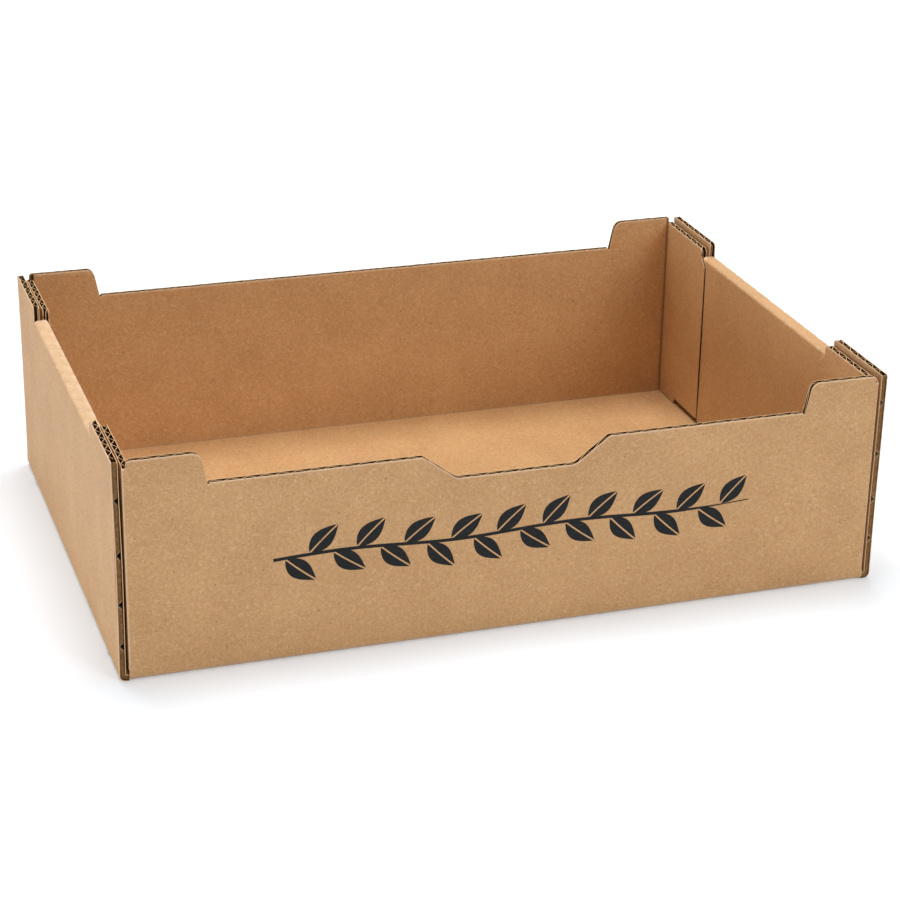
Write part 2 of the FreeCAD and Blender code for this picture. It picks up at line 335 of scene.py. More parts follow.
# Side walls
# Each side wall is double. Its outer panel folds up from the floor, with an ear at either end, rolls over a
# narrow flat top and comes down inside, where a tab under the inner panel locks in the floor's slot.
ROLL_TOP = 79.2
ROLL_FOLD = 1.2
ROLL_CREASE = 0.3
ROLL_WIDTH = 5.7
ROLL_SHOULDER = 143.95
PANEL_TOP = 73.2
SLIT = 0.25
SIDE_END = 99.3
SIDE_EAR_END = 59.5
SIDE_EAR_TOP = 84.9
SIDE_EAR_ROUND = 1.6
INNER_END = 55.75
INNER_FOOT = 2.9
INNER_FOOT_ROUND = 3.0
TAB_HALF = 42.0
TAB_TAPER = 2.0
TAB_FOOT = 0.4
EVEN_HALF = 50.0
SIDE_RISE = 70.0
SIDE_DENT = 24
PANEL_DENT = 21
ROWS_BY_FOOT = (0.965, 0.985, 1.0)
FIRST_CREST = 1.5
# How far from an ear's cut edge the paper is drawn pale, rubbed fibres with a painted highlight, and how much
# paler the left wall's roll is painted, a highlight from the light at the left
EAR_RUB = 0.5
ROLL_PAINTED_LIGHT = 0.55


def panel_foot():
    """Lower edge of an inner panel from its middle to its free end, with the tab."""
    return rounded([
        (0, TAB_FOOT, 0),
        (TAB_HALF - TAB_TAPER, TAB_FOOT, 1.0),
        (TAB_HALF, INNER_FOOT, 0),
        (INNER_END - STEEP, INNER_FOOT, INNER_FOOT_ROUND),
        (INNER_END, INNER_FOOT + INNER_FOOT_ROUND + 0.1, 0),
    ])


def ear_top():
    """Top edge of an outer panel's ear, from its inner end to the corner."""
    return rounded([
        (SIDE_EAR_END, SIDE_EAR_TOP - 3, 0),
        (SIDE_EAR_END + STEEP, SIDE_EAR_TOP, SIDE_EAR_ROUND),
        (SIDE_END - STEEP, SIDE_EAR_TOP, SIDE_EAR_ROUND / 2),
        (SIDE_END, SIDE_EAR_TOP - 2, 0),
    ])


def widened(places, half):
    """An inner panel's places, drawn out near its ends so that the last one stands at that half width."""
    out = EVEN_HALF + (places - EVEN_HALF) * (half - EVEN_HALF) / (INNER_END - EVEN_HALF)
    return np.where(places <= EVEN_HALF, places, out)


def side_columns(step):
    """Places along a side wall: those of the inner panel's half, and those of an ear."""
    middle = spaced(np.append(panel_foot()[:, 0], (SLOT_HALF, EVEN_HALF)), step)
    ear = spaced(np.append(ear_top()[:, 0], NICK), step)
    return middle, ear


def side_rows(step):
    """Places along the whole side wall from one end to the other."""
    middle, ear = side_columns(step)
    half = np.concatenate((widened(middle, SIDE_EAR_END), ear[1:]))
    return np.concatenate((-half[:0:-1], half))


def flute_place(y, side):
    """Distance from an outer panel's upright edge as its place along the flutes, which differs at each ear."""
    whole_flutes = 300 + 60 * side + 20 * np.sign(y)
    return SIDE_END - np.abs(y) - FIRST_CREST + FLUTE_PITCH * whole_flutes


def roll_crease(depth):
    """Radius of the roll's two folds at that depth in the board."""
    return max(ROLL_FOLD - depth, ROLL_CREASE)


def outer_panel(depth, side, y, row_step, press):
    """An outer side panel from its floor fold up to where its ears and the roll part, less its nicks."""
    facing = 1 if depth < BOARD / 2 else -1
    crease = max(FLOOR_FOLD - depth, INNER_CREASE)
    plane = HALF_LENGTH - depth
    start = ROLL_TOP - depth - roll_crease(depth)
    levels = max(2, round(SIDE_RISE / row_step))
    rise = np.append(np.linspace(depth + crease, start - 0.7, levels)[1:], start)
    z = np.append(depth + crease - crease * np.cos(QUARTER), rise)[:, None]
    x = np.append(plane - crease + crease * np.sin(QUARTER), 0 * rise + plane)[:, None]
    calm = np.sin(math.pi * np.clip((z - depth - crease) / (start - depth - crease), 0, 1)) ** 0.7
    end_gap = SIDE_END - np.abs(y)[None, :]
    upright = np.clip((z - depth) / crease, 0, 1)
    push = dented(calm, y, z, SIDE_DENT, 3 + side) + press(flute_place(y, side), end_gap, FAR) * upright
    # Pale by the upright cut edge, rubbed fibres with a painted highlight. Round the floor fold the outer liner
    # is rubbed pale, and the inner liner is painted dark, as shade in the crease.
    fold = np.append(FOLD_RUB_AND_SHADE * np.sin(2 * QUARTER), 0 * rise)[:, None]
    wear_and_painted_light = np.exp(-end_gap / EAR_RUB) + facing * fold
    middle_y = np.abs(y[1:] + y[:-1]) / 2
    in_nick = (middle_y > NICK[0]) & (middle_y < NICK[1])
    keep = ~(in_nick[None, :] & (z[1:] < NICK_HEIGHT) & (depth < NICK_DEPTH))
    mark = (y[None, :] + SIDE_PATTERN + SIDES_APART * side, z + x)
    return patch(grid(side * (x - push), y[None, :], z), (0, 0, -facing), mark, wear_and_painted_light, keep)


def side_ear(depth, side, y, row_step, press, trim):
    """One ear of an outer panel at those places in Y, with its cut edges along the top and at both ends."""
    facing = 1 if depth < BOARD / 2 else -1
    plane = HALF_LENGTH - depth
    start = ROLL_TOP - depth - roll_crease(depth)
    along = flute_place(y, side)
    out = np.abs(y)
    top = np.interp(out, *ear_top().T) - trim(along)
    z = rows_between(0 * out + start, top, row_step)
    edge = np.minimum(top - z, np.minimum(SIDE_END - out, out - SIDE_EAR_END))
    above = np.clip((z - start) / 0.5, 0, 1)
    push = press(along, edge, FAR) * above + press(along, SIDE_END - out, FAR) * (1 - above)
    mark = (y + SIDE_PATTERN + SIDES_APART * side, z + plane)
    # Pale by the cut edges: rubbed fibres with a painted highlight
    return patch(grid(side * (plane - push), y, z), (side * facing, 0, 0), mark, np.exp(-edge / EAR_RUB))


def roll_profile(depth):
    """The roll's section at that depth: distance along it, X, Z, and the roll's half width there.

    Just past the shoulder the half width falls in a straight line from the ears' to the inner panel's, which
    leaves a slit beside the slant of the corner flap.
    """
    crease = roll_crease(depth)
    plane = HALF_LENGTH - depth
    inner = HALF_LENGTH - ROLL_WIDTH + depth
    top = ROLL_TOP - depth
    profile = rounded([
        (plane, top - crease, 0),
        (plane, top, crease),
        (inner, top, crease),
        (inner, PANEL_TOP, 0),
    ])
    run = np.append(0, np.cumsum(np.hypot(*np.diff(profile, axis=0).T)))
    shoulder_x = max(ROLL_SHOULDER, inner + crease + 0.05)
    shoulder = crease * math.pi / 2 + plane - crease - shoulder_x
    slanted = run[-1] + PANEL_TOP - np.linspace(top - crease, FLAP_SHOULDER - FLAP_EDGE_ROUND, 9)
    rows = np.unique(np.round(np.concatenate((run, (shoulder, shoulder + STEEP), slanted)), 4))
    x = np.interp(rows, run, profile[:, 0])
    z = np.interp(rows, run, profile[:, 1])
    slope = (FLAP_EAR_END - FLAP_SLANT_START) / (FLAP_SLANT_TOP - FLAP_SHOULDER)
    half = np.clip(FLAP_SLANT_START - SLIT + slope * (z - FLAP_SHOULDER), INNER_END, SIDE_EAR_END)
    return rows, x, z, np.where(rows <= shoulder + STEEP / 2, SIDE_EAR_END, half)


def roll_and_panel(depth, side, middle, row_step, press):
    """The roll over a side wall's top and the inner panel under it, its profile carried along Y."""
    facing = 1 if depth < BOARD / 2 else -1
    inner = HALF_LENGTH - ROLL_WIDTH + depth
    rows, px, pz, half = roll_profile(depth)
    places = np.concatenate((-middle[:0:-1], middle))
    foot = np.interp(np.abs(places), *panel_foot().T)
    share = np.linspace(0, 0.94, max(2, round(SIDE_RISE / row_step)))[1:]
    share = np.concatenate((share, ROWS_BY_FOOT))
    down = PANEL_TOP + np.outer(share, foot - PANEL_TOP)
    z = np.vstack((np.broadcast_to(pz[:, None], (len(rows), len(places))), down))
    x = np.concatenate((px, 0 * share + inner))[:, None]
    half = np.concatenate((half, 0 * share + INNER_END))[:, None]
    y = np.sign(places) * widened(np.abs(places), half)
    tangent = np.stack((np.gradient(px, rows), np.gradient(pz, rows)))
    tangent /= np.hypot(*tangent)
    into_x = np.concatenate((-tangent[1], 0 * share + 1))[:, None]
    into_z = np.concatenate((tangent[0], 0 * share))[:, None]
    edge = np.minimum(INNER_END - np.abs(places), np.where(z < PANEL_TOP, z - foot, FAR))
    length = np.concatenate((rows, rows[-1] + share * PANEL_TOP))[:, None]

    # Both folds are drawn up ragged where the liner tore. The inner fold is drawn pale, rubbed fibres with a
    # painted highlight, and the left wall's whole roll is painted paler, a highlight from the light at the
    # left. On the inner liner these amounts are painted dark, as shade.
    arc = roll_crease(depth) * math.pi / 2
    outer_fold = arc / 2
    inner_fold = outer_fold + arc + HALF_LENGTH - depth - inner - 2 * roll_crease(depth)
    at_outer_fold = np.exp(-((length - outer_fold) ** 2))
    at_inner_fold = np.exp(-(((length - inner_fold) / 0.9) ** 2))
    torn_up = 0.3 * np.clip(uneven(places, 0 * places, 1.6, 8), 0, 1) * at_outer_fold
    torn_up = torn_up + 0.08 * (1 + uneven(places, 0 * places, 0.9, 4)) * at_inner_fold
    on_roll = np.clip((inner_fold + 0.8 - length) / 0.8, 0, 1) * np.clip(length / 0.8, 0, 1)
    rubbed_and_painted_light = (ROLL_PAINTED_LIGHT if side < 0 else 0.0) * on_roll + 0.35 * at_inner_fold
    wear_and_painted_light = np.exp(-edge / RUB) + facing * rubbed_and_painted_light * (0.8 + 0.35 * uneven(places, length, 1.3, 9))

    # The first 0.4 mm of the roll goes over from the outer panel's flutes to the roll's own
    settle = np.clip(length / 0.4, 0, 1)
    from_fold = np.minimum(np.abs(length - outer_fold), np.abs(length - inner_fold))
    calm = np.clip((PANEL_TOP - z) / CALM_RUN, 0, 1) * np.clip((z - foot) / CALM_RUN, 0, 1)
    pattern = PANEL_PATTERN + SIDES_APART * side
    push = dented(calm, places, z, PANEL_DENT, 7 + side) + torn_up
    push = push + press(places + pattern, edge, from_fold) * settle
    push = push + press(flute_place(y, side), FAR, FAR) * (1 - settle)
    place = grid(side * (x + into_x * push), y, z + into_z * push)
    return patch(place, (side * facing, 0, 0), (y + pattern, length), wear_and_painted_light)


def side_wall(depth, side, step, row_step, press, trim, reach):
    """A side wall: the outer panel and its two ears, which end at reach, the roll and the inner panel."""
    middle, ear = side_columns(step)
    ear = ear[ear <= reach]
    y = side_rows(step)
    y = y[np.abs(y) <= reach]
    grids = [outer_panel(depth, side, y, row_step, press)]
    grids += [side_ear(depth, side, end * ear, row_step, press, trim) for end in (-1, 1)]
    grids.append(roll_and_panel(depth, side, middle, row_step, press))
    return grids


# Kraft liners
# The two outer papers of the board, brown kraft of long softwood fibres, glued to the crests of the flutes.
# Unbleached and uncoated, so they are matt and warm, with fibres, darker flecks and a faint cloudiness, and
# the flutes under them show as soft upright stripes.
LINER = 0.28
SKIN = 0.02
WALL_STEP = 4.0
SIDE_STEP = 1.5
LINER_ROWS = 6.0
CRUSH = 0.07
CRUSH_REACH = 0.8


def linear(colour):
    """An sRGB hex value as a linear colour with alpha."""
    parts = np.array([int(colour[i:i + 2], 16) for i in (1, 3, 5)]) / 255
    return tuple(np.where(parts <= 0.04045, parts / 12.92, ((parts + 0.055) / 1.055) ** 2.4)) + (1.0,)


def node(tree, kind, settings, links=()):
    """Adds a node, sets its options and sockets, and links other nodes' outputs to its sockets."""
    new = tree.nodes.new("ShaderNode" + kind)
    for key, value in settings.items():
        if isinstance(key, str) and hasattr(new, key):
            setattr(new, key, value)
        else:
            new.inputs[key].default_value = value
    for key, source, output in links:
        tree.links.new(source.outputs[output], new.inputs[key])
    return new


def kraft_paper(name, base, deep, pale, cut):
    """Kraft paper as made on a paper machine: fibres, flecks and clouds in colour and in relief.

    cut is for paper that shows only at a cut: it is rougher, and has no fibres, flecks or stripes.
    """
    material = bpy.data.materials.new(name)
    material.use_nodes = True
    tree = material.node_tree
    shader = tree.nodes["Principled BSDF"]
    shader.inputs["Roughness"].default_value = 0.85 if cut else 0.6
    shader.inputs["Specular IOR Level"].default_value = 0.2 if cut else 0.5
    place = node(tree, "TexCoord", {})
    pattern = node(tree, "UVMap", {"uv_map": "pattern"})
    wear_and_painted_light = node(tree, "Attribute", {"attribute_name": "wear_and_painted_light"})
    # Clouds 25 mm across and mottle 1 mm across, from fibres that settled unevenly
    spot = [("Vector", place, "Object")]
    clouds = node(tree, "TexNoise", {"Scale": 1 / (25 * MM), "Detail": 2.0, "Roughness": 0.5}, spot)
    mottle = node(tree, "TexNoise", {"Scale": 1 / MM, "Detail": 2.0, "Roughness": 0.6, "Distortion": 0.9}, spot)
    # Curled fibres 1 to 2 mm long: contour lines of a 3 mm noise, broken by a 1.2 mm one, and drawn three
    # times as thick as they are so that they show. The pale ones lie on top and the dark ones between them.
    curls = node(tree, "TexNoise", {"Scale": 1 / (3.2 * MM), "Detail": 1.5, "Distortion": 1.0}, spot)
    contours = node(tree, "Math", {"operation": "MULTIPLY", 1: 42.0}, [(0, curls, "Fac")])
    swing = node(tree, "Math", {"operation": "SINE"}, [(0, contours, "Value")])
    strand = node(tree, "MapRange", {"From Min": 0.45, "From Max": 0.95}, [("Value", swing, "Value")])
    hollow = node(tree, "MapRange", {"From Min": -0.6, "From Max": -0.98}, [("Value", swing, "Value")])
    breaks = node(tree, "TexNoise", {"Scale": 1 / (1.2 * MM), "Detail": 0.0}, spot)
    whole = node(tree, "MapRange", {"From Min": 0.46, "From Max": 0.56}, [("Value", breaks, "Fac")])
    fibre = node(tree, "Math", {"operation": "MULTIPLY"}, [(0, strand, "Result"), (1, whole, "Result")])
    gap = node(tree, "Math", {"operation": "MULTIPLY"}, [(0, hollow, "Result"), (1, whole, "Result")])
    # Dark flecks of bark, about 0.6 mm across, one in a few square centimetres
    flecks = node(tree, "TexVoronoi", {"feature": "F1", "Scale": 1 / (3.5 * MM)}, spot)
    chance = node(tree, "SeparateColor", {}, [("Color", flecks, "Color")])
    rare = node(tree, "MapRange", {"From Min": 0.72, "From Max": 0.76}, [("Value", chance, "Red")])
    small = node(tree, "MapRange", {"From Min": 0.06, "From Max": 0.13, "To Min": 1.0, "To Max": 0.0},
                 [("Value", flecks, "Distance")])
    fleck = node(tree, "Math", {"operation": "MULTIPLY"}, [(0, rare, "Result"), (1, small, "Result")])
    tone = node(tree, "Math", {"operation": "MULTIPLY_ADD", 1: 0.45},
                [(0, clouds, "Fac"), (2, mottle, "Fac")])
    depth = node(tree, "MapRange", {"From Min": 0.5, "From Max": 0.98}, [("Value", tone, "Value")])
    board = node(tree, "Mix", {"data_type": "RGBA", 6: linear(deep), 7: linear(base)},
                 [("Factor", depth, "Result")])
    lit = node(tree, "Math", {"operation": "MULTIPLY", 1: 0.0 if cut else 0.2}, [(0, fibre, "Value")])
    with_fibres = node(tree, "Mix", {"data_type": "RGBA", 7: linear(pale)},
                       [("Factor", lit, "Value"), (6, board, 2)])
    sunk = node(tree, "Math", {"operation": "MULTIPLY", 1: 0.0 if cut else 0.5}, [(0, gap, "Value")])
    with_gaps = node(tree, "Mix", {"data_type": "RGBA", 7: linear(deep)},
                     [("Factor", sunk, "Value"), (6, with_fibres, 2)])
    # Pale where the paper is rubbed or cut, partly as a painted highlight, and painted dark in the inner
    # creases, as shade
    rubbed_and_painted_light = node(tree, "MapRange", {"From Min": 0.15, "From Max": 1.0, "To Min": 0.0, "To Max": 0.8},
                  [("Value", wear_and_painted_light, "Fac")])
    with_wear_and_painted_highlight = node(tree, "Mix", {"data_type": "RGBA", 7: linear(pale)},
                     [("Factor", rubbed_and_painted_light, "Result"), (6, with_gaps, 2)])
    painted_crease_shade = node(tree, "MapRange", {"From Min": 0.0, "From Max": -0.8, "To Min": 0.0, "To Max": 0.8},
                   [("Value", wear_and_painted_light, "Fac")])
    # The crease colour is painted shade
    with_painted_crease_shade = node(tree, "Mix", {"data_type": "RGBA", 7: linear("#6b4526")},
                       [("Factor", painted_crease_shade, "Result"), (6, with_wear_and_painted_highlight, 2)])
    strong = node(tree, "Math", {"operation": "MULTIPLY", 1: 0.0 if cut else 0.55}, [(0, fleck, "Value")])
    with_flecks = node(tree, "Mix", {"data_type": "RGBA", 7: linear("#5a3c20")},
                       [("Factor", strong, "Value"), (6, with_painted_crease_shade, 2)])
    tree.links.new(with_flecks.outputs[2], shader.inputs["Base Color"])
    # Relief: one stripe a flute, and the fibres' own tooth
    across = node(tree, "SeparateXYZ", {}, [("Vector", pattern, "UV")])
    turns = node(tree, "Math", {"operation": "MULTIPLY", 1: 2 * math.pi / (FLUTE_PITCH * MM)},
                 [(0, across, "X")])
    stripe = node(tree, "Math", {"operation": "SINE"}, [(0, turns, "Value")])
    tooth = node(tree, "Math", {"operation": "MULTIPLY_ADD", 1: 0.25},
                 [(0, fibre, "Value"), (2, mottle, "Fac")])
    relief = node(tree, "Math", {"operation": "MULTIPLY_ADD", 1: 0.0 if cut else 0.35},
                  [(0, stripe, "Value"), (2, tooth, "Value")])
    bump = node(tree, "Bump", {"Strength": 0.5, "Distance": 0.06 * MM}, [("Height", relief, "Value")])
    tree.links.new(bump.outputs["Normal"], shader.inputs["Normal"])
    return material


def paper(name, grids, thickness, offset, materials):
    """Joins patches where their edges meet, gives the paper its thickness, and links it as a piece.

    offset is -1 where the thickness goes behind the patches' faces, and 0 where it goes half each way. The
    materials are those of its face, of its other face and of its rim, which is where the paper is cut.
    """
    counts = np.cumsum([0] + [len(points) for points, _, _, _ in grids])
    points = np.concatenate([points for points, _, _, _ in grids]) * MM
    faces = np.concatenate([quads + start for (_, quads, _, _), start in zip(grids, counts)])
    marks = np.concatenate([mark for _, _, mark, _ in grids]) * MM
    worn = np.concatenate([wear_and_painted_light for _, _, _, wear_and_painted_light in grids])
    sheet = bpy.data.meshes.new(name)
    sheet.from_pydata(points.tolist(), [], faces.tolist())
    pattern = sheet.uv_layers.new(name="pattern")
    pattern.data.foreach_set("uv", marks[faces.reshape(-1)].astype(np.float32).reshape(-1))
    wear_and_painted_light = sheet.attributes.new("wear_and_painted_light", "FLOAT", "POINT")
    wear_and_painted_light.data.foreach_set("value", worn.astype(np.float32))
    joined = bmesh.new()
    joined.from_mesh(sheet)
    bmesh.ops.remove_doubles(joined, verts=joined.verts, dist=0.01 * MM)
    loose = [vert for vert in joined.verts if not vert.link_faces]
    bmesh.ops.delete(joined, geom=loose, context="VERTS")
    joined.to_mesh(sheet)
    joined.free()
    flat = bpy.data.objects.new(name + "_flat", sheet)
    bpy.context.scene.collection.objects.link(flat)
    for material in materials:
        sheet.materials.append(material)
    solid = flat.modifiers.new("thickness", "SOLIDIFY")
    solid.thickness = thickness * MM
    solid.offset = offset
    solid.material_offset = 1
    solid.material_offset_rim = 2
    thick = bpy.data.meshes.new_from_object(flat.evaluated_get(bpy.context.evaluated_depsgraph_get()))
    bpy.data.objects.remove(flat)
    bpy.data.meshes.remove(sheet)
    thick.name = name
    thick.polygons.foreach_set("use_smooth", np.ones(len(thick.polygons), bool))
    thick.set_sharp_from_angle(angle=math.radians(38))
    piece = bpy.data.objects.new(name, thick)
    bpy.context.scene.collection.objects.link(piece)
    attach(piece, "root")
    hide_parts("tray")


def liner(depth, press):
    """Every patch of a liner of the blank at that depth in the board."""
    wall_end = WALL_END - depth
    columns = np.concatenate(((-wall_end,), wall_columns(depth, WALL_STEP), (wall_end,)))
    grids = [floor(depth, columns, side_rows(SIDE_STEP))]
    for side in (-1, 1):
        grids.append(long_fold(depth, side, columns))
        grids.append(long_wall(depth, side, WALL_STEP, LINER_ROWS, press, sheared))
        grids += side_wall(depth, side, SIDE_STEP, LINER_ROWS, press, sheared, SIDE_END)
    return grids


def pressed_in(run, edge, from_fold):
    """The outer liner by a cut edge, which the die pressed towards the flutes."""
    return CRUSH * np.exp(-np.abs(edge) / CRUSH_REACH) * (0.7 + 0.3 * np.sin(run / 1.9))


def pressed_out(run, edge, from_fold):
    """The inner liner by a cut edge, pressed the other way."""
    return -0.6 * CRUSH * np.exp(-np.abs(edge) / CRUSH_REACH) * (0.7 + 0.3 * np.sin(run / 1.7 + 1))


def sheared(run):
    """How far a liner's cut edge stops short of the die's line."""
    return 0.03 * (1 + np.sin(run / 2.3) * np.sin(run / 0.9))


kraft_liner = kraft_paper("kraft_liner_calendered", "#d1a470", "#b78958", "#edd2b4", False)
# The glued side is drawn near black: painted shade in the flute cells and nicks
liner_back_painted_shade = kraft_paper("kraft_liner_glued_side_painted_shade", "#4a3019", "#33200f", "#4a3019", True)
liner_edge = kraft_paper("kraft_liner_die_cut", "#cfa677", "#b58a5a", "#d8b48a", True)
liner_finish = (kraft_liner, liner_back_painted_shade, liner_edge)
paper("outer_liner", liner(SKIN, pressed_in), LINER, -1, liner_finish)
paper("inner_liner", liner(BOARD - SKIN, pressed_out), LINER, -1, liner_finish)


# Fluted medium
# The middle paper of the board, a browner recycled paper that was steamed and pressed into flutes 6 mm apart
# and glued to both liners. It shows only where the board is cut, a little behind the liners' edges, as
# pleats between dark cells. Their faces and the liners' glued sides are drawn dark: painted shade in the cells.
MEDIUM = 0.28
FLUTE_HALF = (BOARD - 2 * SKIN - 2 * LINER - MEDIUM) / 2
FLUTE_STEP = 0.6
MEDIUM_ROWS = 60.0
STRIP = 3.6


def wave(place):
    """A triangle wave with rounded crests, from -1 at one liner to 1 at the other: the arcsine of a sine."""
    return np.arcsin(0.97 * np.sin(2 * math.pi * place / FLUTE_PITCH)) / math.asin(0.97)


def fluted(run, edge, from_fold):
    """The wave from liner to liner, with a slightly uneven pitch, flattened at folds."""
    flattened = 1 - 0.75 * np.exp(-((from_fold / 2.0) ** 2))
    return FLUTE_HALF * wave(run + 0.5 * uneven(run, 0 * run, 17, 2)) * flattened


def torn(run):
    """How far the medium's cut edge lies behind the liners' edges."""
    return 0.12 + 0.07 * uneven(run, 0 * run, 3.1, 5)


# The medium's faces are drawn darker than the same paper on the flanks: painted shade in the flute cells
medium_face_painted_shade = kraft_paper("fluting_medium_recycled_painted_shade", "#6f4f2e", "#573b20", "#6f4f2e", True)
medium_edge = kraft_paper("fluting_medium_die_cut", "#c49a6a", "#a67c4e", "#cfa87c", True)
flutes = []
for side in (-1, 1):
    flutes.append(long_wall(BOARD / 2, side, FLUTE_STEP, MEDIUM_ROWS, fluted, torn))
    flutes += side_wall(BOARD / 2, side, FLUTE_STEP, MEDIUM_ROWS, fluted, torn, SIDE_END - STRIP)
paper("fluted_medium", flutes, MEDIUM, 0, (medium_face_painted_shade, medium_face_painted_shade, medium_edge))


# Upright flanks
# Up the outer side panels' four upright edges the die cut down one flank of a flute, so the medium fills the
# space between the liners. It is the same recycled paper, seen flat on and paler where the die bit into it.
UNDER_FLOOR = 3.2
BITES = (13.6, 30.0, 49.0, 70.0)
BITES_BY_SIDE = 1.7
BITES_BY_END = 1.1
BITE_HALF = 1.9
BITE_DEPTH = 3.0
BITE_EDGE = 0.3
BITE_START = 0.12
GROOVE = 0.3
GROOVE_BY_LINER = 0.35


def upright_strip(side, end):
    """The medium along an outer panel's upright edge, from the top of the ear down and round the floor fold.

    Its rows run from liner to liner, and it lies a little behind the cut, deeper by both liners. A bite of
    the die is a wedge, from nothing by the outer liner to its full height by the inner one, and far deeper.
    """
    under = np.linspace(UNDER_FLOOR, 0, 5)[:-1, None]
    turn = np.linspace(0, math.pi / 2, 6)[:-1, None]
    rise = np.linspace(FLOOR_FOLD, SIDE_EAR_TOP - 0.3, 330)[:, None]
    inset = SKIN + LINER * 0.6
    deep = np.linspace(inset, BOARD - inset, 9)[None, :]
    radius = FLOOR_FOLD - deep
    corner = HALF_LENGTH - FLOOR_FOLD
    x = np.vstack((corner - under + 0 * deep, corner + radius * np.sin(turn), corner + radius + 0 * rise))
    z = np.vstack((deep + 0 * under, FLOOR_FOLD - radius * np.cos(turn), rise + 0 * deep))
    share = (deep - deep[0, 0]) / (deep[0, -1] - deep[0, 0])
    levels = np.array(BITES) + BITES_BY_SIDE * (side + 1) + BITES_BY_END * (end + 1)
    from_bite = np.abs(z[..., None] - levels).min(2)
    wedge = BITE_HALF * (share - BITE_START)
    bitten = np.clip((wedge - from_bite) / BITE_EDGE, 0, 1)
    groove = GROOVE + GROOVE_BY_LINER * (2 * share - 1) ** 4
    groove = groove + 0.1 * uneven(z, 3 * deep, 2.4, side + 2 * end)
    y = end * (SIDE_END - groove - BITE_DEPTH * bitten)
    lip = 0.9 * np.exp(-(((from_bite - wedge - 0.12) / BITE_EDGE) ** 2)) * (share > 0.1)
    return patch(grid(side * x, y, z), (0, end, 0), (x, z), lip)


medium_flank = kraft_paper("fluting_medium_steamed", "#966d45", "#664526", "#e4c49c", True)
strips = [upright_strip(side, end) for side in (-1, 1) for end in (-1, 1)]
paper("upright_flanks", strips, MEDIUM, -1, (medium_flank, medium_flank, medium_edge))


# Front print
# A row of leaves along a stem, flexo printed on the front wall in one pass of matt black ink, which the
# fibres take up a little unevenly. Flexo ink soaks in, so it has no edge that stands up.
INK_LEVEL = 40.5
INK_START = -91.0
INK_END = 93.0
LEAVES = 20
LEAF_LENGTH = 14.2
LEAF_WIDTH = 3.5
RIB = 0.6
STEM = 1.3
STEM_TAPER = 30
TILT = 44
TILT_SPREAD = 5
FIRST_LEAF = INK_START + 4
LAST_LEAF = INK_END - 12
FROM_STEM = 0.8
INK = 0.009


def stem_line(x):
    """Height of the stem: a long shallow sine wave."""
    return INK_LEVEL + 0.8 * np.sin(x / 14)


def on_front(x, z):
    """Points on the printed face of the front wall, which has the wall's own unevenness."""
    calm = np.clip((z - FLAP_START) / CALM_RISE, 0, 1)
    return grid(x, dented(calm, -x, z, WALL_DENT, -1) - HALF_WIDTH + SKIN - INK, z)


def leaf(root, turn, half):
    """Half a leaf, from its rib out: its width is the sine of the place along it, fuller near the stem."""
    place = np.linspace(0.015, 0.985, 17)[None, :]
    out = np.array((0.0, 0.5, 1.0))[:, None]
    width = RIB / 2 + out * LEAF_WIDTH * np.sin(math.pi * place ** 0.85)
    along = place * LEAF_LENGTH + FROM_STEM
    bend = 0.06 * along ** 2 / LEAF_LENGTH * np.sign(turn)
    across = half * width - bend
    x = root + along * math.cos(turn) - across * math.sin(turn)
    z = stem_line(root) + along * math.sin(turn) + across * math.cos(turn)
    return patch(on_front(x, z), (0, -1, 0), (x, z), 0.0)


ink_patches = []
for number in range(LEAVES):
    root = FIRST_LEAF + (LAST_LEAF - FIRST_LEAF) * number / (LEAVES - 1)
    tilt = math.radians(TILT + TILT_SPREAD * math.sin(2.4 * number)) * (1 if number % 2 else -1)
    ink_patches += [leaf(root, tilt, half) for half in (-1, 1)]
stem_x = np.linspace(INK_START, INK_END, 120)[None, :]
stem_half = STEM / 2 * np.clip((INK_END - stem_x) / STEM_TAPER, 0.35, 1) * np.array((-1.0, 1.0))[:, None]
stem_place = on_front(stem_x, stem_line(stem_x) + stem_half)
ink_patches.append(patch(stem_place, (0, -1, 0), (stem_x, stem_half), 0.0))

ink = bpy.data.materials.new("flexo_ink_matt_black")
ink.use_nodes = True
ink_tree = ink.node_tree
ink_shader = ink_tree.nodes["Principled BSDF"]
ink_shader.inputs["Roughness"].default_value = 0.7
ink_shader.inputs["Specular IOR Level"].default_value = 0.2
ink_place = node(ink_tree, "TexCoord", {})
# Ink lies thinner on raised fibres, in spots about 0.6 mm across
taken = node(ink_tree, "TexNoise", {"Scale": 1 / (0.6 * MM), "Detail": 2.0},
             [("Vector", ink_place, "Object")])
thin = node(ink_tree, "MapRange", {"From Min": 0.42, "From Max": 0.8}, [("Value", taken, "Fac")])
ink_colour = node(ink_tree, "Mix", {"data_type": "RGBA", 6: linear("#16181a"), 7: linear("#2b2a28")},
                  [("Factor", thin, "Result")])
ink_bump = node(ink_tree, "Bump", {"Strength": 0.4, "Distance": 0.05 * MM}, [("Height", taken, "Fac")])
ink_tree.links.new(ink_colour.outputs[2], ink_shader.inputs["Base Color"])
ink_tree.links.new(ink_bump.outputs["Normal"], ink_shader.inputs["Normal"])
paper("front_print", ink_patches, INK, -1, (ink, ink, ink))


# Studio floor, light and camera
# A large white sweep, a soft box over the tray, a long low one at its left and one in front at the right, and
# a long lens from the front left, a little above.
FLOOR_REACH = 3.0


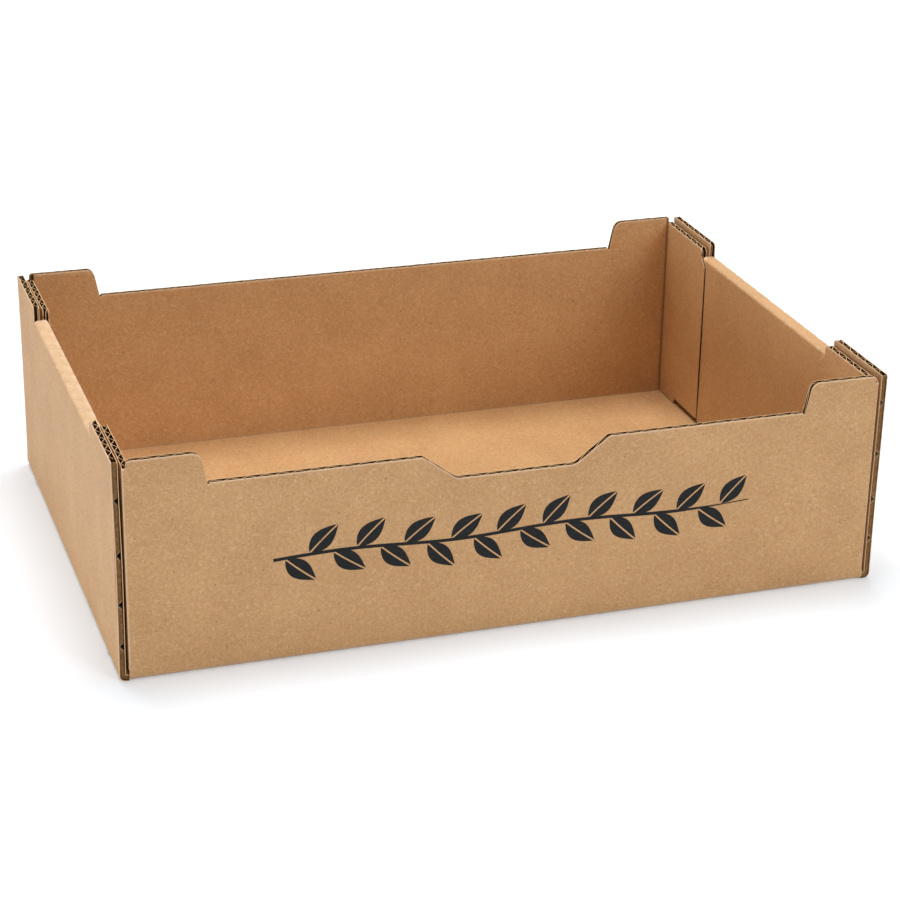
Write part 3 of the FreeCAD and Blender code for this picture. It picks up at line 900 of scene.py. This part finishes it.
def white_floor():
    """The sweep: a plain white that the camera sees as the background, and that keeps the tray's shadow."""
    mesh = bpy.data.meshes.new("studio_floor")
    corners = [(FLOOR_REACH * x, FLOOR_REACH * y, 0) for x, y in ((-1, -1), (1, -1), (1, 1), (-1, 1))]
    mesh.from_pydata(corners, [], [(0, 1, 2, 3)])
    material = bpy.data.materials.new("white_paper_sweep")
    material.use_nodes = True
    tree = material.node_tree
    shader = tree.nodes["Principled BSDF"]
    shader.inputs["Base Color"].default_value = linear("#dfe4e9")
    shader.inputs["Roughness"].default_value = 0.95
    shader.inputs["Specular IOR Level"].default_value = 0.1
    # What the camera sees glows as well, so that it is white by the tray, and more so from 0.3 m away
    seen = node(tree, "LightPath", {})
    spot = node(tree, "TexCoord", {})
    away = node(tree, "VectorMath", {"operation": "LENGTH"}, [(0, spot, "Object")])
    fade = node(tree, "MapRange", {"From Min": 0.3, "From Max": 1.0, "To Min": 0.24, "To Max": 1.0},
                [("Value", away, "Value")])
    share = node(tree, "Math", {"operation": "MULTIPLY"}, [(0, seen, "Is Camera Ray"), (1, fade, "Result")])
    glow = node(tree, "Emission", {"Color": linear("#ffffff")}, [("Strength", share, "Value")])
    both = node(tree, "AddShader", {}, [(0, shader, "BSDF"), (1, glow, "Emission")])
    tree.links.new(both.outputs["Shader"], tree.nodes["Material Output"].inputs["Surface"])
    mesh.materials.append(material)
    piece = bpy.data.objects.new("studio_floor", mesh)
    bpy.context.scene.collection.objects.link(piece)


white_floor()

# The room lights the tray softly, and is plain white to the camera and in reflections
world = bpy.data.worlds.new("white_room")
bpy.context.scene.world = world
world.use_nodes = True
backdrop = world.node_tree
background = backdrop.nodes["Background"]
background.inputs["Color"].default_value = linear("#ffffff")
rays = node(backdrop, "LightPath", {})
camera_or_gloss = node(backdrop, "Math", {"operation": "MAXIMUM"},
                       [(0, rays, "Is Camera Ray"), (1, rays, "Is Glossy Ray")])
seen_white = node(backdrop, "Math", {"operation": "MAXIMUM"},
                  [(0, camera_or_gloss, "Value"), (1, rays, "Is Transmission Ray")])
strength = node(backdrop, "MapRange", {"To Min": 0.27, "To Max": 1.0}, [("Value", seen_white, "Value")])
backdrop.links.new(strength.outputs["Result"], background.inputs["Strength"])


def soft_box(name, place, aim, width, height, power, colour):
    """A soft lamp of that width and height at place, turned to aim."""
    lamp = bpy.data.lights.new(name, "AREA")
    lamp.shape = "RECTANGLE"
    lamp.size = width
    lamp.size_y = height
    lamp.energy = power
    lamp.color = linear(colour)[:3]
    box = bpy.data.objects.new(name, lamp)
    box.location = place
    box.rotation_euler = (Vector(aim) - Vector(place)).to_track_quat("-Z", "Y").to_euler()
    bpy.context.scene.collection.objects.link(box)


soft_box("top_box", (0.0, 0.2, 1.4), (0, 0, 0), 0.8, 0.8, 18.5, "#ffffff")
soft_box("left_box", (-1.2, -0.2, 0.1), (0, 0, 0.07), 1.0, 0.2, 6.5, "#eef3ff")
soft_box("front_box", (0.75, -1.5, 0.8), (0, 0, 0.03), 0.8, 0.8, 11.4, "#ffffff")

AZIMUTH = math.radians(-18.68)
ELEVATION = math.radians(23.51)
ROLL = math.radians(1.04)
FOCAL_LENGTH = 97.92
DISTANCE = 0.98689
TARGET = Vector((0.00799, 0, 0.02936))
back = Vector((
    math.sin(AZIMUTH) * math.cos(ELEVATION), -math.cos(AZIMUTH) * math.cos(ELEVATION), math.sin(ELEVATION)
))
level_right = Vector((math.cos(AZIMUTH), math.sin(AZIMUTH), 0))
level_up = back.cross(level_right)
right = level_right * math.cos(ROLL) + level_up * math.sin(ROLL)
up = back.cross(right)
lens = bpy.data.cameras.new("long_lens")
lens.sensor_width = 36
lens.lens = FOCAL_LENGTH
lens.clip_start = 0.01
camera = bpy.data.objects.new("long_lens", lens)
turned = Matrix((right, up, back)).transposed().to_4x4()
camera.matrix_world = Matrix.Translation(TARGET + back * DISTANCE) @ turned
bpy.context.scene.collection.objects.link(camera)
bpy.context.scene.camera = camera
bpy.context.scene.view_settings.view_transform = "Standard"
